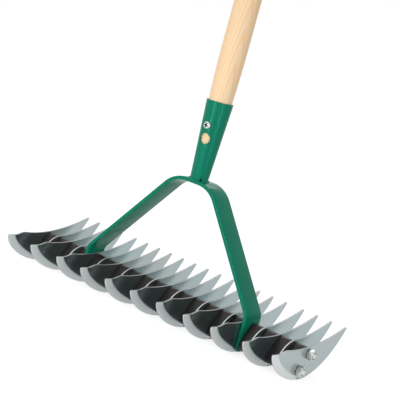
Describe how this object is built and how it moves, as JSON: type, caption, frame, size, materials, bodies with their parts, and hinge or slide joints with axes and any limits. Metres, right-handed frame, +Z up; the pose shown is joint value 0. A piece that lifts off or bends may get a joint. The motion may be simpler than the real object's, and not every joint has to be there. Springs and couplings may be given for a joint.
{
  "type": "aerator rake",
  "caption": "Lawn aerator rake: pointed steel blades stacked with plastic spacers on tie rods under a bent steel yoke, with a socketed wooden handle.",
  "frame": {"origin": "on the ground under the middle of the head: the middle of the overall box, at the level of the blades' lowest points", "axes": "+X along the head towards the user's right hand side of the picture, +Y from the blunt blade fronts to the pointed tines, +Z up along the handle"},
  "size_m": [0.3844, 0.1282, 1.707],
  "materials": {
    "wood": "bare pale softwood, sanded",
    "green_paint": "glossy green paint",
    "blade_steel": "bright zinc plate with a ground front edge",
    "zinc": "bright zinc plate",
    "black_plastic": "satin brown-black moulded plastic"
  },
  "bodies": {
    "root": {"handle": "wood", "socket": "green_paint", "socket_screw": "zinc", "weld_bead": "green_paint", "yoke": "green_paint", "upper_tie_rod": "zinc", "lower_tie_rod": "zinc", "left_upper_nut": "zinc", "left_lower_nut": "zinc", "right_upper_nut": "zinc", "right_lower_nut": "zinc", "long_blade_01": "blade_steel", "long_blade_02": "blade_steel", "long_blade_03": "blade_steel", "long_blade_04": "blade_steel", "long_blade_05": "blade_steel", "long_blade_06": "blade_steel", "long_blade_07": "blade_steel", "long_blade_08": "blade_steel", "long_blade_09": "blade_steel", "long_blade_10": "blade_steel", "long_blade_11": "blade_steel", "short_blade_01": "blade_steel", "short_blade_02": "blade_steel", "short_blade_03": "blade_steel", "short_blade_04": "blade_steel", "short_blade_05": "blade_steel", "short_blade_06": "blade_steel", "short_blade_07": "blade_steel", "short_blade_08": "blade_steel", "short_blade_09": "blade_steel", "short_blade_10": "blade_steel", "spacer_01": "black_plastic", "spacer_02": "black_plastic", "spacer_03": "black_plastic", "spacer_04": "black_plastic", "spacer_05": "black_plastic", "spacer_06": "black_plastic", "spacer_07": "black_plastic", "spacer_08": "black_plastic", "spacer_09": "black_plastic", "spacer_10": "black_plastic", "spacer_11": "black_plastic", "spacer_12": "black_plastic", "spacer_13": "black_plastic", "spacer_14": "black_plastic", "spacer_15": "black_plastic", "spacer_16": "black_plastic", "spacer_17": "black_plastic", "spacer_18": "black_plastic", "spacer_19": "black_plastic", "spacer_20": "black_plastic"}
  },
  "joints": []
}
